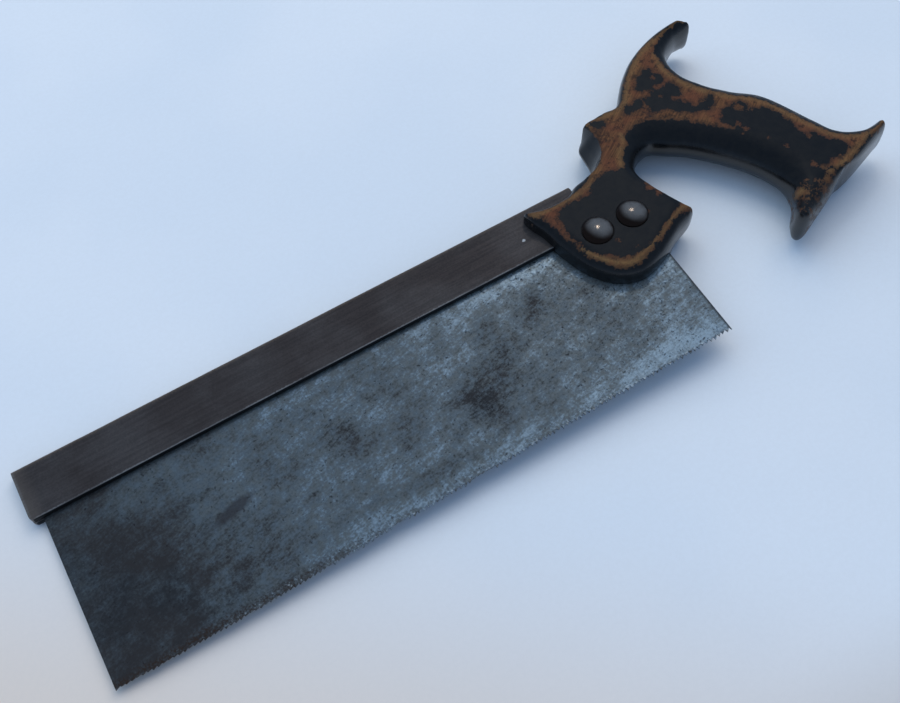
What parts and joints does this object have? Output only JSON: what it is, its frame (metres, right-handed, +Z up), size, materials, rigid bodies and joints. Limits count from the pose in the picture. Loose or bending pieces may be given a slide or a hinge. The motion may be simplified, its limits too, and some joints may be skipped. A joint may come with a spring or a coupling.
{
  "type": "back saw",
  "caption": "Wooden-handled back saw: a fine-toothed steel plate stiffened by a folded steel back, with an open pistol-grip handle held by domed bolts.",
  "frame": {"origin": "centre of the bounding box's lower face, on the surface that the saw lies on, under the handle's lower face", "axes": "+X along the back from the toe to the heel and handle, +Y from the teeth to the back, +Z up, square to the plate"},
  "size_m": [0.4394, 0.1682, 0.0258],
  "materials": {
    "plate_steel": "old blue-grey patina with dark stains",
    "back_steel": "dark brown-grey patina, satin",
    "handle_wood": "old near-black varnish worn through to reddish brown wood at the edges",
    "bolt_steel": "rubbed dark steel",
    "nut_steel": "dark steel"
  },
  "bodies": {
    "root": {"saw_plate": "plate_steel", "steel_back": "back_steel", "handle": "handle_wood", "front_bolt": "bolt_steel", "rear_bolt": "bolt_steel", "front_nut": "nut_steel", "rear_nut": "nut_steel"}
  },
  "joints": []
}
